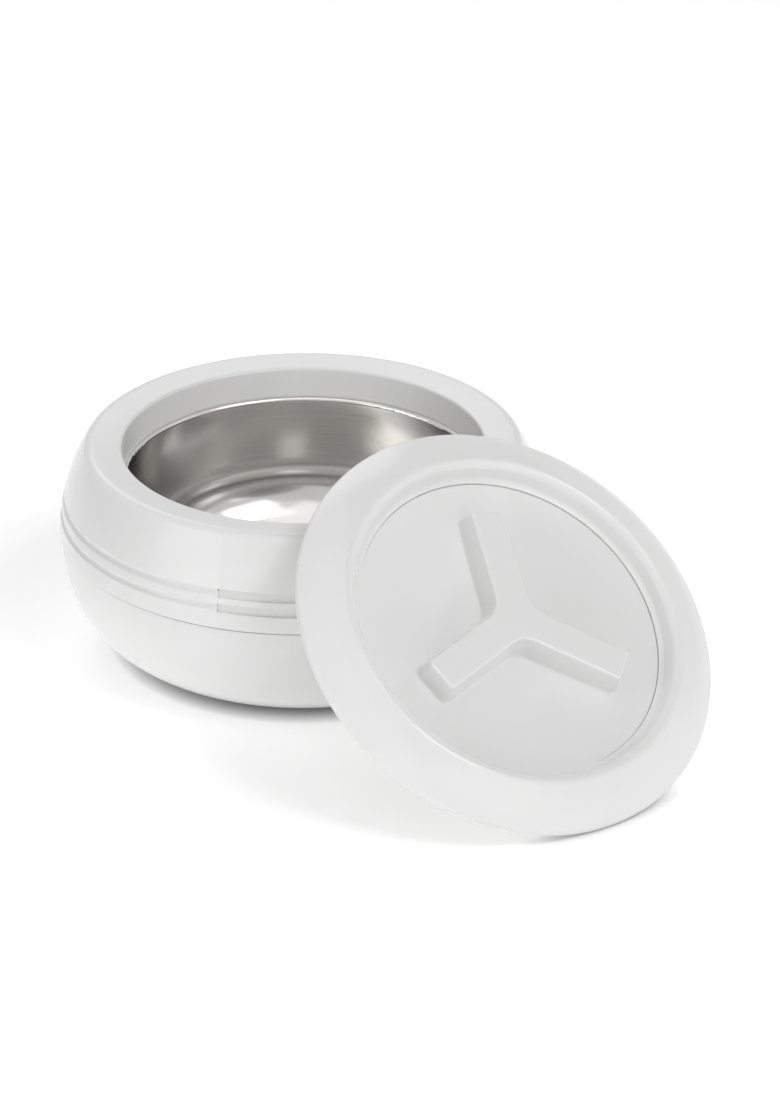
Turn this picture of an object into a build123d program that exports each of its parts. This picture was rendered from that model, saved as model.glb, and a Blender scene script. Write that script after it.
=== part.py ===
from build123d import *

import os
from math import asin, atan2, cos, degrees, hypot, radians, sin, sqrt

# Insulated chapati casserole: a foam-filled pot with a steel bowl, and a foam-filled lid that leans on it.
# Millimetres, +Z up. The origin is the centre of the pot's base, on the surface that the pot stands on.
# The lid leans on the pot's rim from the +X side, with its low edge on the same surface.

# ---- pot, outside ----
pot_height = 106.5          # surface to the rim's outer edge
rim_radius = 106.6          # outer edge of the rim
belly_radius = 120.7        # widest circle of the pot
belly_height = 59.5         # where the pot is widest
foot_radius = 68.5          # where the rounded underside meets the surface
side_step = 1.82            # the rounded underside, carried on, would end this far inside the rounded side
mouth_radius = 89.5         # inner edge of the rim
mouth_drop = 1.6            # the rim's inner edge lies this much lower than its outer edge
neck_radius = 88.6          # lower end of the neck
neck_depth = 14.1           # from the rim's inner edge to the lower end of the neck
rim_round = 4.5             # rounding of the rim's outer edge
mouth_round = 1.5           # rounding of the rim's inner edge
pot_wall = 2.4              # plastic of the collar and of the lower shell

# ---- pot, where the collar meets the lower shell ----
seam_height = 60.4          # lower edge of the collar
seam_gap = 0.9              # open line between the collar and the lower shell
collar_overhang = 0.9       # the collar stands out over the lower shell by this much
tongue_depth = 6.0          # the collar's tongue reaches this far down inside the lower shell
tongue_root = 4.0           # and is thickened this far up inside the collar
tongue_wall = 1.4
tongue_clearance = 0.15

# ---- pot, belt of two grooves round the collar ----
belt_heights = (78.1, 70.8)
groove_width = 3.4
groove_depth = 1.2
groove_round = 1.0          # rounding where a groove meets the side
slot_width = 4.2            # square slots take the place of the round grooves along the front
slot_depth = 1.5
slot_round = 0.3            # rounding where a slot meets the side
front_azimuth = -37.9       # middle of the front stretch, about +Z from +X
front_half_angle = 19.7

# ---- pot, underside ----
foot_ring_width = 10.0      # flat ring that the pot stands on
boss_radius = 30.0          # flat disc in the middle, level with the ring
recess_depth = 0.9          # hollow between the ring and the disc
recess_slope = 1.5
base_hole_offset = 44.0     # from the pot's axis to the foam's filling hole
base_hole_radius = 7.0
base_plug_head = 9.0        # radius of the plug's head
base_plug_head_depth = 0.7
base_plug_length = 4.5

# ---- steel bowl ----
steel = 0.6                 # sheet thickness
bowl_radius = 86.6          # inside of the bowl's wall
bowl_depth = 71.0           # from the top of the rolled lip to the floor inside
bowl_corner = 38.0          # inside radius between the wall and the floor
lip_radius = 2.0            # outside radius of the rolled lip
lip_skirt = 3.0             # straight part of the lip below its roll
seal_height = 1.0           # silicone ring between the lip and the neck
seal_peek = 0.3             # the ring shows this much inside the neck

# ---- lid, cover (heights are counted from the flange that rests on the rim) ----
lid_radius = 107.6
lid_height = 15.5           # flange to the crest
lid_edge_height = 2.6       # straight edge
lid_edge_round = 0.9        # rounding under the straight edge
lid_shoulder_round = 2.4    # rounding over it
crest_radius = 86.6         # the highest circle
crest_round = 4.5
crest_slope = 23.0          # slant, in degrees, at which the crest hands over to the outer slope
dish_radius = 77.9          # foot of the dish's wall
dish_depth = 8.3            # crest to the foot of the dish's wall
dish_round = 3.0            # rounding between the dish's wall and its foot
dish_step = 0.9             # fine step from the foot of the wall down to the dish's floor
dish_sag = 2.6              # the floor's middle lies this much deeper than its edge
dish_line_width = 0.3       # fine sunk line at the foot of the step
dish_line_depth = 0.9
lid_wall = 2.2

# ---- lid, grip moulded in the cover ----
grip_arms = 3
grip_height = 16.6          # flange to the top of the grip
grip_azimuth = 44.7         # first arm, about the lid's axis from the lid's low side
grip_length = 57.0          # lid's axis to the end of an arm, on top
grip_width = 16.4           # across an arm, on top
grip_draft = 12.0           # slant of the side walls, in degrees
grip_inner_round = 13.0     # corner between two arms, on top
grip_end_round = 1.6        # corners of an arm's end, on top
grip_edge_round = 1.3       # rounding along the top edges
grip_foot_round = 1.0       # rounding where the side walls meet the dish

# ---- lid, liner ----
liner_wall = 2.0
flange_edge = 0.7           # the liner's flange thins to this at its outer edge
flange_bevel = 2.0          # over this width
skirt_clearance = 2.0       # between the skirt and the pot's mouth
skirt_wall = 2.2
skirt_depth = 9.6           # below the flange
plate_depth = 6.9           # flat ring inside the skirt, below the flange
dome_depth = 9.6            # the middle, below the flange
dome_radius = 48.0
dome_ramp = 9.0             # width of the slope between the flat ring and the middle
lid_hole_radius = 6.0
lid_plug_head = 8.0         # radius of the plug's head
lid_plug_head_depth = 0.8
lid_plug_length = 3.6

# ---- fits ----
liner_clearance = 0.15      # between the liner's flange and the cover's edge
foam_gap = 0.2              # between the foam and what it fills
plug_clearance = 0.05       # each plug in its hole, radially

# ---- how the lid leans ----
lean_angle = 39.1           # tilt of the lid from level
lean_offset = -5.4          # the lid's middle lies this far along Y from the pot's middle
lean_gap = 0.3              # between the lid's flat ring and the pot's rim

# ---- worked out from the sizes above ----
belly_reach = belly_radius - rim_radius
belly_rise = pot_height - belly_height
belly_arc = (belly_reach**2 + belly_rise**2) / (2 * belly_reach)
belly_centre = belly_radius - belly_arc
foot_span = belly_radius - collar_overhang - foot_radius
arc_spread = (foot_span - belly_height) ** 2 / (2 * side_step)
if foot_span < belly_height:
    foot_arc, shell_arc = foot_span - side_step, belly_height + arc_spread
else:
    foot_arc, shell_arc = foot_span + arc_spread, belly_height - side_step
shell_centre = foot_radius + foot_span - shell_arc
tongue_inset = pot_wall + tongue_clearance
shell_top = seam_height - seam_gap

mouth_height = pot_height - mouth_drop
neck_height = mouth_height - neck_depth
neck_back = neck_radius + pot_wall
lip_top = neck_height - seal_height
lip_centre = lip_top - lip_radius
lip_outside = bowl_radius + 2 * lip_radius
bowl_floor = lip_top - bowl_depth
bowl_flat = bowl_radius - bowl_corner

dish_foot = lid_height - dish_depth
dish_edge = dish_foot - dish_step
dish_middle = dish_edge - dish_sag
lean = radians(lean_angle)
skirt_outside = mouth_radius - skirt_clearance
skirt_inside = skirt_outside - skirt_wall
flange_outside = lid_radius - lid_wall - liner_clearance
dome_end = dome_radius + dome_ramp


def turned(*outline):
    """Solid of revolution about Z from a closed outline in (radius, height)."""
    return revolve(Plane.XZ * make_face(outline), Axis.Z)


def ring_edges(part, radius, height):
    """The part's circular edges of one radius at one height."""
    rings = part.edges().filter_by(GeomType.CIRCLE)
    return [e for e in rings if abs(e.radius - radius) < 0.01 and abs(e.arc_center.Z - height) < 0.01]


def on_collar(inset, height):
    """Point at a height on the collar's rounded side, inset from its outside."""
    return (belly_centre + sqrt((belly_arc - inset) ** 2 - (height - belly_height) ** 2), height)


def on_shell(inset, height):
    """Point at a height on the lower shell's rounded side, inset from its outside."""
    return (shell_centre + sqrt((shell_arc - inset) ** 2 - (height - belly_height) ** 2), height)


def side(place, inset, start, end):
    """Stretch of a rounded side between two heights."""
    return ThreePointArc(place(inset, start), place(inset, (start + end) / 2), place(inset, end))


def underside(inset, end):
    """The pot's rounded underside and side up to a height, inset from the lower shell's outside."""
    arc, corner = shell_arc - inset, foot_arc - inset
    apart = shell_arc - foot_arc
    outward, downward = (foot_radius - shell_centre) / apart, (belly_height - foot_arc) / apart
    half = hypot(outward, downward + 1)
    start = (foot_radius, inset)
    knee = (foot_radius + corner * outward / half, foot_arc - corner * (downward + 1) / half)
    blend = (shell_centre + arc * outward, belly_height - arc * downward)
    return [ThreePointArc(start, knee, blend), side(on_shell, inset, blend[1], end)]


def lower_shell():
    ring_inside = foot_radius - foot_ring_width
    bottom = Polyline(
        (0, 0),
        (boss_radius, 0),
        (boss_radius + recess_slope, recess_depth),
        (ring_inside - recess_slope, recess_depth),
        (ring_inside, 0),
        (foot_radius, 0),
    )
    top = Line(on_shell(0, shell_top), on_shell(pot_wall, shell_top))
    floor = Polyline((foot_radius, pot_wall), (0, pot_wall), (0, 0))
    shell = turned(bottom, *underside(0, shell_top), top, *underside(pot_wall, shell_top), floor)
    return shell - Pos(-base_hole_offset, 0, 0) * Cylinder(base_hole_radius, 2 * pot_wall)


def base_plug():
    align = (Align.CENTER, Align.CENTER, Align.MIN)
    head = Cylinder(base_plug_head, base_plug_head_depth, align=align)
    stem = Cylinder(base_hole_radius - plug_clearance, base_plug_length, align=align)
    plug = head + Pos(0, 0, base_plug_head_depth) * stem
    return Pos(-base_hole_offset, 0, recess_depth - base_plug_head_depth) * plug


def collar_section(cut, cut_round):
    """The collar's section, with a cut sunk in its side at each height of the belt."""
    tongue_end = seam_height - tongue_depth
    root = seam_height + tongue_root
    tongue_back = tongue_inset + tongue_wall
    top = pot_height - pot_wall
    rim_and_neck = Polyline(
        (rim_radius, pot_height),
        (mouth_radius, mouth_height),
        (neck_radius, neck_height),
        (neck_back, neck_height),
        (mouth_radius + pot_wall, mouth_height - pot_wall),
        on_collar(pot_wall, top),
    )
    section = make_face(
        [
            side(on_collar, 0, seam_height, pot_height),
            rim_and_neck,
            side(on_collar, pot_wall, top, root + tongue_wall),
            Line(on_collar(pot_wall, root + tongue_wall), on_shell(tongue_back, root)),
            side(on_shell, tongue_back, root, tongue_end),
            Line(on_shell(tongue_back, tongue_end), on_shell(tongue_inset, tongue_end)),
            side(on_shell, tongue_inset, tongue_end, seam_height),
            Line(on_shell(tongue_inset, seam_height), on_collar(0, seam_height)),
        ]
    )
    section = fillet(corners_at(section, (rim_radius, pot_height)), rim_round)
    section = fillet(corners_at(section, (mouth_radius, mouth_height)), mouth_round)
    for height in belt_heights:
        slant = Rot(0, 0, degrees(asin((height - belly_height) / belly_arc)))
        before = section.vertices()
        section -= Pos(*on_collar(0, height)) * slant * cut
        fresh = [v for v in section.vertices() if v not in before and on_side(v)]
        section = fillet(fresh, cut_round)
    return section


def corners_at(section, place):
    """The section's corner at a place."""
    return [v for v in section.vertices() if hypot(v.X - place[0], v.Y - place[1]) < 0.01]


def on_side(corner):
    """Whether a corner of a section lies on the collar's rounded side."""
    return abs(hypot(corner.X - belly_centre, corner.Y - belly_height) - belly_arc) < 0.01


def collar():
    groove_radius = (groove_width**2 / 4 + groove_depth**2) / (2 * groove_depth)
    groove = Pos(groove_radius - groove_depth, 0) * Circle(groove_radius)
    slot = Rectangle(2 * slot_depth, slot_width)
    grooved = Plane.XZ * collar_section(groove, groove_round)
    slotted = Plane.XZ * collar_section(slot, slot_round)
    front_start, front_end = front_azimuth - front_half_angle, front_azimuth + front_half_angle
    around = revolve(Rot(0, 0, front_end) * grooved, Axis.Z, 360 - 2 * front_half_angle)
    front = revolve(Rot(0, 0, front_start) * slotted, Axis.Z, 2 * front_half_angle)
    return around + front


def steel_bowl():
    inner_lip, corner_out = lip_radius - steel, bowl_corner + steel
    lip_axis = bowl_radius + lip_radius
    corner_height = bowl_floor + bowl_corner
    knee_in = (bowl_flat + bowl_corner * sqrt(0.5), corner_height - bowl_corner * sqrt(0.5))
    knee_out = (bowl_flat + corner_out * sqrt(0.5), corner_height - corner_out * sqrt(0.5))
    skirt_end = lip_centre - lip_skirt
    return turned(
        Polyline((0, bowl_floor - steel), (0, bowl_floor), (bowl_flat, bowl_floor)),
        ThreePointArc((bowl_flat, bowl_floor), knee_in, (bowl_radius, corner_height)),
        Line((bowl_radius, corner_height), (bowl_radius, lip_centre)),
        ThreePointArc((bowl_radius, lip_centre), (lip_axis, lip_top), (lip_outside, lip_centre)),
        Polyline(
            (lip_outside, lip_centre),
            (lip_outside, skirt_end),
            (lip_outside - steel, skirt_end),
            (lip_outside - steel, lip_centre),
        ),
        ThreePointArc(
            (lip_outside - steel, lip_centre),
            (lip_axis, lip_centre + inner_lip),
            (bowl_radius + steel, lip_centre),
        ),
        Line((bowl_radius + steel, lip_centre), (bowl_radius + steel, corner_height)),
        ThreePointArc((bowl_radius + steel, corner_height), knee_out, (bowl_flat, bowl_floor - steel)),
        Line((bowl_flat, bowl_floor - steel), (0, bowl_floor - steel)),
    )


def bowl_seal():
    inside, outside = neck_radius - seal_peek, neck_back
    upper, lower = neck_height, lip_top
    return turned(
        Polyline((inside, lower), (outside, lower), (outside, upper), (inside, upper), (inside, lower))
    )


def pot_foam():
    skin = pot_wall + foam_gap
    tongue_back = tongue_inset + tongue_wall + foam_gap
    tongue_end = seam_height - tongue_depth - foam_gap
    root = seam_height + tongue_root
    above_root = root + tongue_wall + foam_gap
    top = pot_height - skin
    back = max(lip_outside, neck_back) + foam_gap
    under_lip = lip_centre - lip_skirt - foam_gap
    bowl_back, bowl_below = bowl_radius + steel + foam_gap, bowl_floor - steel - foam_gap
    corner, corner_height = bowl_corner + steel + foam_gap, bowl_floor + bowl_corner
    knee = (bowl_flat + corner * sqrt(0.5), corner_height - corner * sqrt(0.5))
    foam = turned(
        Line((0, skin), (foot_radius, skin)),
        *underside(skin, tongue_end),
        Line(on_shell(skin, tongue_end), on_shell(tongue_back, tongue_end)),
        side(on_shell, tongue_back, tongue_end, root),
        Line(on_shell(tongue_back, root), on_collar(skin, above_root)),
        side(on_collar, skin, above_root, top),
        Polyline(
            on_collar(skin, top),
            (mouth_radius + skin, mouth_height - skin),
            (back, neck_height),
            (back, under_lip),
            (bowl_back, under_lip),
            (bowl_back, corner_height),
        ),
        ThreePointArc((bowl_back, corner_height), knee, (bowl_flat, bowl_below)),
        Polyline((bowl_flat, bowl_below), (0, bowl_below), (0, skin)),
    )
    hole_height = 2 * (recess_depth + base_plug_length + foam_gap)
    return foam - Pos(-base_hole_offset, 0, 0) * Cylinder(base_hole_radius + foam_gap, hole_height)


def lid_section(inset, low):
    """Half section of the lid below its top surface, inset from that surface, down to a level."""
    foot, crest = (dish_radius, dish_foot + dish_round), (crest_radius, lid_height - crest_round)
    run, rise = crest[0] - foot[0], crest[1] - foot[1]
    climb = atan2(rise, run) + asin((dish_round + crest_round) / hypot(run, rise))
    wall_foot = (foot[0] + dish_round * sin(climb), foot[1] - dish_round * cos(climb))
    wall_top = (crest[0] - crest_round * sin(climb), crest[1] + crest_round * cos(climb))
    knee = (foot[0] + dish_round * sin(climb / 2), foot[1] - dish_round * cos(climb / 2))
    slope = radians(crest_slope)
    hand_over = (crest[0] + crest_round * sin(slope), crest[1] + crest_round * cos(slope))
    edge_top = (lid_radius, lid_edge_height)
    deep = -lid_height
    right = [
        Line((dish_radius, dish_edge), (dish_radius, dish_foot)),
        ThreePointArc((dish_radius, dish_foot), knee, wall_foot),
        Line(wall_foot, wall_top),
        ThreePointArc(wall_top, (crest[0], lid_height), hand_over),
        TangentArc(hand_over, edge_top, tangent=(cos(slope), -sin(slope))),
        Line(edge_top, (lid_radius, deep)),
    ]
    dish = ThreePointArc((-dish_radius, dish_edge), (0, dish_middle), (dish_radius, dish_edge))
    low_line = Line((-lid_radius, deep), (lid_radius, deep))
    whole = make_face([*right, *[mirror(edge, about=Plane.YZ) for edge in right], dish, low_line])
    if inset:
        whole = offset(whole, amount=-inset, kind=Kind.INTERSECTION)
    half = Pos(0, low) * Rectangle(2 * lid_radius, 4 * lid_height, align=(Align.MIN, Align.MIN))
    return whole & half


def grip_outline(inset):
    """Top face of the grip, inset from its edge: equal arms round the lid's axis."""
    arm = Rectangle(grip_length, grip_width, align=(Align.MIN, Align.CENTER))
    turns = [grip_azimuth + 360 / grip_arms * n for n in range(grip_arms)]
    outline = Sketch() + [Rot(0, 0, turn) * arm for turn in turns]
    corners = outline.vertices()
    outer = [v for v in corners if hypot(v.X, v.Y) > grip_length / 2]
    inner = [v for v in corners if hypot(v.X, v.Y) <= grip_length / 2]
    outline = fillet(inner, grip_inner_round)
    outer = [v for v in outline.vertices() if hypot(v.X, v.Y) > grip_length - 0.01]
    outline = fillet(outer, grip_end_round)
    return offset(outline, amount=-inset) if inset else outline


def grip_block(inset, depth):
    """The grip as a block that widens downwards, inset from its faces, down through a depth."""
    top = Pos(0, 0, grip_height - inset) * grip_outline(inset)
    return extrude(top, amount=-depth, taper=-grip_draft)


def is_grip_foot(edge):
    """Whether an edge runs round the grip where its side walls meet the dish."""
    middle = edge @ 0.5
    on_dish = dish_middle - 0.01 < middle.Z < dish_edge + 0.01
    return on_dish and 0.01 < hypot(middle.X, middle.Y) < (grip_length + dish_radius) / 2


def lid_cover():
    rim = turned(*lid_section(0, 0).edges()) - turned(*lid_section(lid_wall, -lid_wall).edges())
    rim = fillet(ring_edges(rim, lid_radius, lid_edge_height), lid_shoulder_round)
    rim = fillet(ring_edges(rim, lid_radius, 0), lid_edge_round)
    block = grip_block(0, grip_height - dish_middle)
    top_edges = block.edges().filter_by_position(Axis.Z, grip_height - 0.01, grip_height + 0.01)
    block = fillet(top_edges, grip_edge_round)
    cover = rim + block
    foot_edges = [e for e in cover.edges() if is_grip_foot(e)]
    cover = fillet(foot_edges, grip_foot_round) - grip_block(lid_wall, grip_height)
    return cover - dish_line()


def dish_line():
    """What the fine line round the dish's floor takes out of the cover."""
    inside, bottom = dish_radius - dish_line_width, dish_edge - dish_line_depth
    corners = [(inside, bottom), (dish_radius, bottom), (dish_radius, dish_foot), (inside, dish_foot)]
    return turned(Polyline(*corners, corners[0]))


def lid_liner():
    outline = Polyline(
        (0, -dome_depth),
        (dome_radius, -dome_depth),
        (dome_end, -plate_depth),
        (skirt_inside, -plate_depth),
        (skirt_inside, -skirt_depth),
        (skirt_outside, -skirt_depth),
        (skirt_outside, 0),
        (flange_outside, 0),
        (flange_outside, flange_edge),
        (flange_outside - flange_bevel, liner_wall),
        (skirt_inside, liner_wall),
        (skirt_inside, liner_wall - plate_depth),
        (dome_end, liner_wall - plate_depth),
        (dome_radius, liner_wall - dome_depth),
        (0, liner_wall - dome_depth),
        (0, -dome_depth),
    )
    return turned(outline) - Cylinder(lid_hole_radius, 3 * dome_depth)


def lid_plug():
    align = (Align.CENTER, Align.CENTER, Align.MIN)
    head = Cylinder(lid_plug_head, lid_plug_head_depth, align=align)
    stem = Cylinder(lid_hole_radius - plug_clearance, lid_plug_length, align=align)
    plug = head + Pos(0, 0, lid_plug_head_depth) * stem
    return Pos(0, 0, -dome_depth - lid_plug_head_depth) * plug


def lid_foam():
    floor = liner_wall + foam_gap
    above_liner = make_face(
        Polyline(
            (0, floor - dome_depth),
            (dome_radius, floor - dome_depth),
            (dome_end, floor - plate_depth),
            (skirt_inside - foam_gap, floor - plate_depth),
            (skirt_inside - foam_gap, floor),
            (lid_radius, floor),
            (lid_radius, lid_height),
            (0, lid_height),
            (0, floor - dome_depth),
        )
    )
    skin = lid_wall + foam_gap
    section = lid_section(skin, -dome_depth) & above_liner
    core = grip_block(skin, grip_height)
    stem = Pos(0, 0, -dome_depth) * Cylinder(lid_hole_radius + foam_gap, 2 * (lid_plug_length + foam_gap))
    return turned(*section.edges()) + core - stem


def lid_place(rim):
    """Where the lid's flange centre lies when its edge stands on the surface and its flat ring on the rim."""
    low = (lid_radius - lid_edge_round) * sin(lean) + lid_edge_round * (1 - cos(lean))
    reach = (Rot(0, -lean_angle, 0) * rim).bounding_box().max.Z
    out = (reach + lean_gap + plate_depth - low * cos(lean)) / sin(lean)
    return Pos(out, lean_offset, low) * Rot(0, lean_angle, 0)


def main():
    os.makedirs("parts", exist_ok=True)
    pot = {
        "lower_shell": lower_shell(),
        "collar": collar(),
        "steel_bowl": steel_bowl(),
        "bowl_seal": bowl_seal(),
        "pot_foam": pot_foam(),
        "base_plug": base_plug(),
    }
    lid = {
        "lid_cover": lid_cover(),
        "lid_liner": lid_liner(),
        "lid_foam": lid_foam(),
        "lid_plug": lid_plug(),
    }
    place = lid_place(pot["collar"])
    for node, piece in [*pot.items(), *[(name, place * item) for name, item in lid.items()]]:
        piece.label = node
        export_step(piece, f"parts/{node}.step")


main()
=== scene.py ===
"""Insulated casserole: a white moulded pot with a steel bowl, and its lid leaning on the rim. Metres."""

from math import cos, radians, sin

import bpy
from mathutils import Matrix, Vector

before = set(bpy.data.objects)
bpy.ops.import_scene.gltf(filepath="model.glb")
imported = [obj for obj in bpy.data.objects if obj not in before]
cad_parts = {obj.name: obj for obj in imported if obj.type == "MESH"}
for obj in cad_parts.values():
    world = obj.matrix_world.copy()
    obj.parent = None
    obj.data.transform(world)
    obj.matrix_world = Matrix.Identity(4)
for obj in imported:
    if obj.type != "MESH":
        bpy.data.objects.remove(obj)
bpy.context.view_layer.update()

bpy.ops.object.select_all(action="DESELECT")

# ---- Camera ----
# A long lens looks down on the pot from the side where the lid leans.
# Azimuth 0 looks along +Y, and places round the object are given as azimuth, height angle and distance.
view_azimuth = 52.12
view_height = 26.08
view_distance = 3.15
view_side = 0.0427
view_centre = 0.0443
long_lens = 206.15
view_reach = 50


def around(azimuth, height, distance, centre):
    """Point seen from a centre at an azimuth and a height angle, at a distance."""
    turn, rise = radians(azimuth), radians(height)
    return centre + distance * Vector((cos(rise) * sin(turn), -cos(rise) * cos(turn), sin(rise)))


def aim(thing, target):
    """Turn a camera or lamp to look at a point, upright."""
    thing.rotation_euler = (target - thing.location).to_track_quat("-Z", "Y").to_euler()


view_turn = radians(view_azimuth)
look_at = Vector((view_side * cos(view_turn), view_side * sin(view_turn), view_centre))
bpy.ops.object.camera_add(location=around(view_azimuth, view_height, view_distance, look_at))
camera = bpy.context.object
camera.name = "camera"
camera.data.lens = long_lens
camera.data.clip_end = view_reach
aim(camera, look_at)
bpy.context.scene.camera = camera

# ---- Floor ----
# A wide sheet of matt white paper with a weak even glow, as of a lit table, so that it is plain white away
# from the object. Both are shaded down where the object nearly touches it, for a tight contact shadow.
floor_size = 12.0
paper_white = 0.9
paper_glow = 0.34
contact_reach = 0.008
contact_power = 0.6
contact_samples = 24


def tree(owner):
    """A material's or world's nodes and links, emptied."""
    owner.use_nodes = True
    owner.node_tree.nodes.clear()
    return owner.node_tree.nodes, owner.node_tree.links


bpy.ops.mesh.primitive_plane_add(size=floor_size)
floor = bpy.context.object
floor.name = "floor"
paper = bpy.data.materials.new("white_paper")
nodes, links = tree(paper)
contact = nodes.new("ShaderNodeAmbientOcclusion")
contact.samples = contact_samples
contact.inputs["Distance"].default_value = contact_reach
shade = nodes.new("ShaderNodeMath")
shade.operation = "POWER"
shade.inputs[1].default_value = contact_power
links.new(contact.outputs["AO"], shade.inputs[0])
matt = nodes.new("ShaderNodeBsdfDiffuse")
matt_white = nodes.new("ShaderNodeMath")
matt_white.operation = "MULTIPLY"
matt_white.inputs[1].default_value = paper_white
links.new(shade.outputs[0], matt_white.inputs[0])
links.new(matt_white.outputs[0], matt.inputs["Color"])
glow = nodes.new("ShaderNodeEmission")
glow.inputs["Color"].default_value = (1, 1, 1, 1)
strength = nodes.new("ShaderNodeMath")
strength.operation = "MULTIPLY"
strength.inputs[1].default_value = paper_glow
links.new(shade.outputs[0], strength.inputs[0])
links.new(strength.outputs[0], glow.inputs["Strength"])
both = nodes.new("ShaderNodeAddShader")
links.new(matt.outputs[0], both.inputs[0])
links.new(glow.outputs[0], both.inputs[1])
out = nodes.new("ShaderNodeOutputMaterial")
links.new(both.outputs[0], out.inputs["Surface"])
floor.data.materials.append(paper)

# ---- Lamps and surroundings ----
# Softboxes round the object, all at one distance: low ones to the left and right of the camera and at the
# side, one above the pot, one behind it, and a strong one high on the right. The surroundings light the
# object as a dim grey room, and are paler where they are seen or mirrored.
lamp_distance = 2.2
lamp_sheets = (0.8, 1.0, 1.2)
room_light = 0.22
room_seen = 0.8


def softbox(name, azimuth, height, width, depth, power):
    """Rectangular lamp facing the object, its azimuth counted from the camera's.

    It is made of sheets one inside the other, so that its edge is soft in reflections.
    """
    whole = sum(sheet**2 for sheet in lamp_sheets)
    for sheet in lamp_sheets:
        place = around(view_azimuth + azimuth, height, lamp_distance, look_at)
        bpy.ops.object.light_add(type="AREA", location=place)
        lamp = bpy.context.object
        lamp.name = name
        lamp.data.shape = "RECTANGLE"
        lamp.data.size = sheet * width
        lamp.data.size_y = sheet * depth
        lamp.data.energy = power * sheet**2 / whole
        aim(lamp, look_at)


softbox("left_lamp", -57, 16, 1.05, 1.2, 17)
softbox("right_lamp", 34, 16, 1.2, 1.0, 9)
softbox("side_lamp", 88, 16, 0.8, 0.9, 3)
softbox("top_lamp", -30, 68, 1.6, 1.4, 11)
softbox("key_lamp", 48, 52, 0.9, 0.8, 22)
softbox("back_left_lamp", -163, 40, 0.9, 0.9, 10)


def camera_or_mirror(nodes, links):
    """1 for what is seen straight, mirrored or through glass, and 0 for light that falls on things."""
    path = nodes.new("ShaderNodeLightPath")
    direct = nodes.new("ShaderNodeMath")
    direct.operation = "MAXIMUM"
    links.new(path.outputs["Is Camera Ray"], direct.inputs[0])
    links.new(path.outputs["Is Glossy Ray"], direct.inputs[1])
    seen = nodes.new("ShaderNodeMath")
    seen.operation = "MAXIMUM"
    links.new(direct.outputs[0], seen.inputs[0])
    links.new(path.outputs["Is Transmission Ray"], seen.inputs[1])
    return seen.outputs[0]


room = bpy.data.worlds.new("room")
bpy.context.scene.world = room
nodes, links = tree(room)
walls = nodes.new("ShaderNodeBackground")
walls.inputs["Color"].default_value = (1, 1, 1, 1)
walls.inputs["Strength"].default_value = room_light
white = nodes.new("ShaderNodeBackground")
white.inputs["Color"].default_value = (1, 1, 1, 1)
white.inputs["Strength"].default_value = room_seen
choose = nodes.new("ShaderNodeMixShader")
links.new(camera_or_mirror(nodes, links), choose.inputs["Fac"])
links.new(walls.outputs[0], choose.inputs[1])
links.new(white.outputs[0], choose.inputs[2])
out = nodes.new("ShaderNodeOutputWorld")
links.new(choose.outputs[0], out.inputs["Surface"])

bpy.context.scene.view_settings.view_transform = "Standard"

# ---- Collar, lower shell and lid cover ----
# The outside of the pot and of the lid: glossy white polypropylene, injection-moulded in three pieces that
# lock into each other round the foam. Their skin is faintly uneven from shrinking as it cooled, with the
# fine orange peel of a polished mould, and slightly duller where hands and cloths have rubbed it.
gloss_white = 0.775
gloss_shade = 0.012
gloss_warmth = 1.3
gloss_rough = (0.15, 0.22)
wave_period = 0.03
wave_height = 0.0001
peel_period = 0.0013
peel_height = 0.000006
rub_period = 0.006
cloud_period = 0.05
plastic_ior = 1.49


def spots(nodes, links, coordinates, period, detail, spread):
    """Soft random pattern from 0 to 1 whose features are about a period across."""
    noise = nodes.new("ShaderNodeTexNoise")
    noise.inputs["Scale"].default_value = 1 / period
    noise.inputs["Detail"].default_value = detail
    noise.inputs["Roughness"].default_value = spread
    links.new(coordinates, noise.inputs["Vector"])
    return noise.outputs["Fac"]


def stretch(nodes, links, value, low, high):
    """A pattern's middle range, 0.3 to 0.7, spread between two values."""
    spread = nodes.new("ShaderNodeMapRange")
    spread.inputs["From Min"].default_value = 0.3
    spread.inputs["From Max"].default_value = 0.7
    spread.inputs["To Min"].default_value = low
    spread.inputs["To Max"].default_value = high
    links.new(value, spread.inputs["Value"])
    return spread.outputs["Result"]


def shades(nodes, links, value, first, second):
    """Colour between two colours, by a pattern."""
    mix = nodes.new("ShaderNodeMix")
    mix.data_type = "RGBA"
    mix.inputs["A"].default_value = (*first, 1)
    mix.inputs["B"].default_value = (*second, 1)
    links.new(value, mix.inputs["Factor"])
    return mix.outputs["Result"]


def relief(nodes, links, value, height, under=None):
    """Normal of a surface raised by a pattern, on top of another relief."""
    bump = nodes.new("ShaderNodeBump")
    bump.inputs["Strength"].default_value = 1
    bump.inputs["Distance"].default_value = height
    links.new(value, bump.inputs["Height"])
    if under:
        links.new(under, bump.inputs["Normal"])
    return bump.outputs["Normal"]


def surface(name):
    """A new material with its shader and the object's coordinates, in metres."""
    material = bpy.data.materials.new(name)
    nodes, links = tree(material)
    shader = nodes.new("ShaderNodeBsdfPrincipled")
    out = nodes.new("ShaderNodeOutputMaterial")
    links.new(shader.outputs[0], out.inputs["Surface"])
    place = nodes.new("ShaderNodeTexCoord").outputs["Object"]
    return material, nodes, links, shader, place


def dress(material, *names):
    """Give a material to CAD nodes."""
    for name in names:
        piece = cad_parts[name]
        for slot in piece.material_slots:
            slot.material = material


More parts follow.
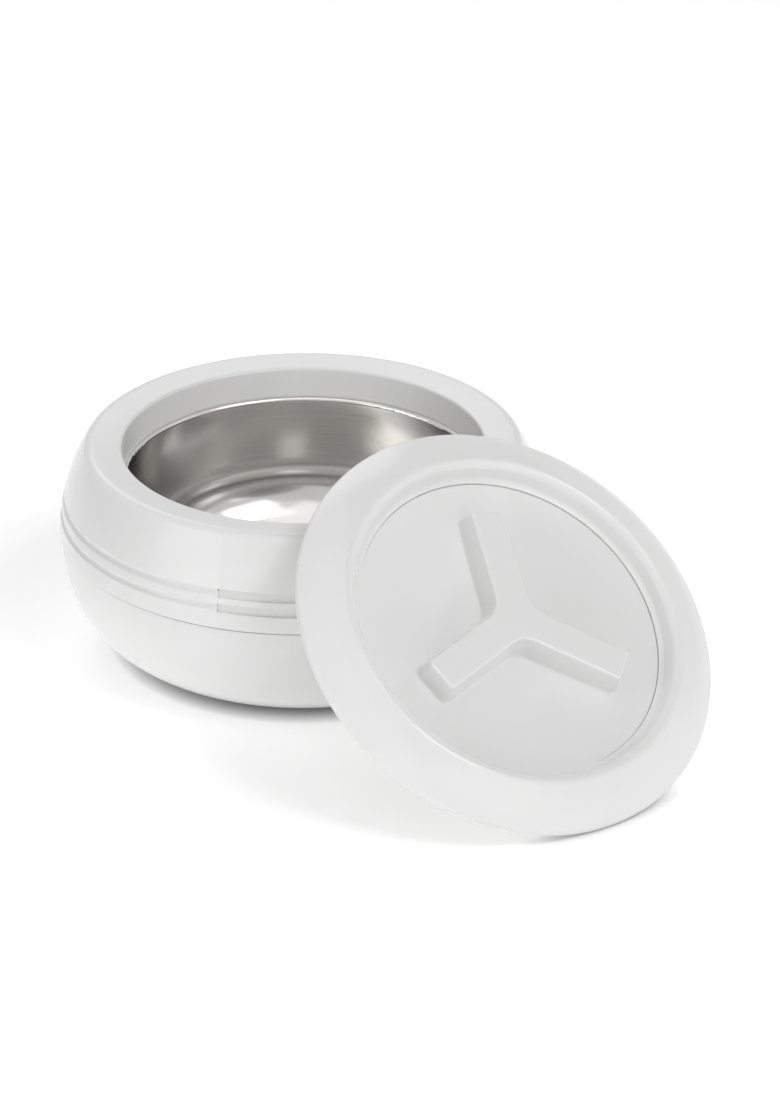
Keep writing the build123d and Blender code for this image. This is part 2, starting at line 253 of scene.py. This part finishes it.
gloss_plastic, nodes, links, shader, place = surface("gloss_plastic")
clouds = stretch(nodes, links, spots(nodes, links, place, cloud_period, 2, 0.5), 0, 1)
pale = (gloss_white, gloss_white, gloss_white)
shaded = (gloss_white - gloss_shade, gloss_white - gloss_shade, gloss_white - gloss_warmth * gloss_shade)
links.new(shades(nodes, links, clouds, pale, shaded), shader.inputs["Base Color"])
rubbed = spots(nodes, links, place, rub_period, 6, 0.65)
links.new(stretch(nodes, links, rubbed, *gloss_rough), shader.inputs["Roughness"])
waves = relief(nodes, links, spots(nodes, links, place, wave_period, 1, 0.4), wave_height)
peel = relief(nodes, links, spots(nodes, links, place, peel_period, 2, 0.5), peel_height, waves)
links.new(peel, shader.inputs["Normal"])
shader.inputs["IOR"].default_value = plastic_ior
dress(gloss_plastic, "collar", "lower_shell", "lid_cover")

# ---- Steel bowl ----
# Deep bowl pressed and spun from thin stainless steel, with its lip rolled outward under the collar's neck.
# Polishing on the lathe has left fine rings round its axis, which draw the reflections out sideways.
steel_colour = (0.62, 0.61, 0.595)
steel_rough = (0.10, 0.20)
steel_sparkle = 1.03
steel_draw = 0.5
ring_period = 0.0005
ring_height = 0.0000022
press_period = 0.02
press_height = 0.00004


def rings(nodes, links, place, period):
    """Random pattern that is even round the Z axis, in rings about a period apart."""
    flat = nodes.new("ShaderNodeVectorMath")
    flat.operation = "MULTIPLY"
    flat.inputs[1].default_value = (1, 1, 0)
    links.new(place, flat.inputs[0])
    radius = nodes.new("ShaderNodeVectorMath")
    radius.operation = "LENGTH"
    links.new(flat.outputs[0], radius.inputs[0])
    parts = nodes.new("ShaderNodeSeparateXYZ")
    links.new(place, parts.inputs[0])
    profile = nodes.new("ShaderNodeCombineXYZ")
    links.new(radius.outputs["Value"], profile.inputs[0])
    links.new(parts.outputs[2], profile.inputs[1])
    return spots(nodes, links, profile.outputs[0], period, 3, 0.6)


polished_steel, nodes, links, shader, place = surface("polished_steel")
shader.inputs["Metallic"].default_value = 1
lathe = rings(nodes, links, place, ring_period)
bright = tuple(steel_sparkle * part for part in steel_colour)
links.new(shades(nodes, links, lathe, steel_colour, bright), shader.inputs["Base Color"])
links.new(stretch(nodes, links, lathe, *steel_rough), shader.inputs["Roughness"])
pressed = relief(nodes, links, spots(nodes, links, place, press_period, 1, 0.4), press_height)
links.new(relief(nodes, links, lathe, ring_height, pressed), shader.inputs["Normal"])
shader.inputs["Anisotropic"].default_value = steel_draw
turning = nodes.new("ShaderNodeTangent")
turning.direction_type = "RADIAL"
turning.axis = "Z"
links.new(turning.outputs[0], shader.inputs["Tangent"])
dress(polished_steel, "steel_bowl")

# ---- Silicone ring ----
# Thin flat ring of milky silicone, cut from sheet and laid on the steel lip, where the collar's neck
# squeezes it. Its cut edge, just visible inside the mouth, is matt and slightly dusty.
silicone_white = (0.70, 0.70, 0.69)
silicone_dust = (0.64, 0.64, 0.63)
silicone_rough = (0.42, 0.6)
dust_period = 0.002
dust_height = 0.00001
silicone, nodes, links, shader, place = surface("silicone")
dust = spots(nodes, links, place, dust_period, 5, 0.6)
links.new(shades(nodes, links, dust, silicone_white, silicone_dust), shader.inputs["Base Color"])
links.new(stretch(nodes, links, dust, *silicone_rough), shader.inputs["Roughness"])
links.new(relief(nodes, links, dust, dust_height), shader.inputs["Normal"])
dress(silicone, "bowl_seal")

# ---- Lid liner ----
# The underside of the lid: the same plastic moulded thinner, with the satin of a spark-eroded mould, and
# a faint swirl of the melt that spread from the middle.
liner_white = (0.765, 0.765, 0.755)
liner_swirl = (0.745, 0.745, 0.733)
liner_rough = (0.33, 0.45)
grain_period = 0.0008
grain_height = 0.000008
swirl_period = 0.06
swirl_twist = 1.5
satin_plastic, nodes, links, shader, place = surface("satin_plastic")
swirl = nodes.new("ShaderNodeTexNoise")
swirl.inputs["Scale"].default_value = 1 / swirl_period
swirl.inputs["Detail"].default_value = 3
swirl.inputs["Distortion"].default_value = swirl_twist
links.new(place, swirl.inputs["Vector"])
swirled = stretch(nodes, links, swirl.outputs["Fac"], 0, 1)
links.new(shades(nodes, links, swirled, liner_white, liner_swirl), shader.inputs["Base Color"])
grain = spots(nodes, links, place, grain_period, 4, 0.7)
links.new(stretch(nodes, links, grain, *liner_rough), shader.inputs["Roughness"])
sunk = relief(nodes, links, spots(nodes, links, place, wave_period, 1, 0.4), wave_height)
links.new(relief(nodes, links, grain, grain_height, sunk), shader.inputs["Normal"])
shader.inputs["IOR"].default_value = plastic_ior
dress(satin_plastic, "lid_liner")

# ---- Plugs ----
# Two flat round plugs, turned from natural polypropylene rod and pressed into the holes through which the
# foam was poured, one under the pot and one in the middle of the lid's liner. Faintly scratched and dull.
plug_white = (0.72, 0.72, 0.705)
plug_grey = (0.66, 0.66, 0.64)
plug_rough = (0.35, 0.55)
handled_period = 0.004
scratch_scale = (150, 2200, 2200)
scratch_height = 0.000008
plug_plastic, nodes, links, shader, place = surface("plug_plastic")
handled = spots(nodes, links, place, handled_period, 6, 0.7)
greyed = stretch(nodes, links, handled, 0, 1)
links.new(shades(nodes, links, greyed, plug_white, plug_grey), shader.inputs["Base Color"])
links.new(stretch(nodes, links, handled, *plug_rough), shader.inputs["Roughness"])
scratches = nodes.new("ShaderNodeTexNoise")
scratches.inputs["Scale"].default_value = 1
scratches.inputs["Detail"].default_value = 3
along = nodes.new("ShaderNodeMapping")
along.inputs["Scale"].default_value = scratch_scale
links.new(place, along.inputs["Vector"])
links.new(along.outputs[0], scratches.inputs["Vector"])
links.new(relief(nodes, links, scratches.outputs["Fac"], scratch_height), shader.inputs["Normal"])
dress(plug_plastic, "base_plug", "lid_plug")

# ---- Foam ----
# Rigid polyurethane foam, poured in and set between the shell and the bowl, and inside the lid. Straw
# yellow, with closed cells about a millimetre across; it shows only where a section is cut. The cells'
# hollows are painted darker, as painted shade, where the bump sinks them.
foam_pale = (0.80, 0.73, 0.54)
foam_pore_shade = (0.66, 0.57, 0.38)
cell_size = 0.0012
cell_wall = 0.25
cell_depth = 0.0003
foam_rough = (0.8, 0.95)
patch_period = 0.01
rigid_foam, nodes, links, shader, place = surface("rigid_foam")
cells = nodes.new("ShaderNodeTexVoronoi")
cells.feature = "DISTANCE_TO_EDGE"
cells.inputs["Scale"].default_value = 1 / cell_size
links.new(place, cells.inputs["Vector"])
pore_depth_and_shade = nodes.new("ShaderNodeMapRange")
pore_depth_and_shade.inputs["From Max"].default_value = cell_wall
links.new(cells.outputs["Distance"], pore_depth_and_shade.inputs["Value"])
# Painted shade: the colour darkens towards the middle of each cell, where the bump makes the hollow.
links.new(shades(nodes, links, pore_depth_and_shade.outputs[0], foam_pale, foam_pore_shade), shader.inputs["Base Color"])
patches = spots(nodes, links, place, patch_period, 3, 0.5)
links.new(stretch(nodes, links, patches, *foam_rough), shader.inputs["Roughness"])
hollow = nodes.new("ShaderNodeMath")
hollow.operation = "SUBTRACT"
hollow.inputs[0].default_value = 1
links.new(pore_depth_and_shade.outputs[0], hollow.inputs[1])
links.new(relief(nodes, links, hollow.outputs[0], cell_depth), shader.inputs["Normal"])
dress(rigid_foam, "pot_foam", "lid_foam")
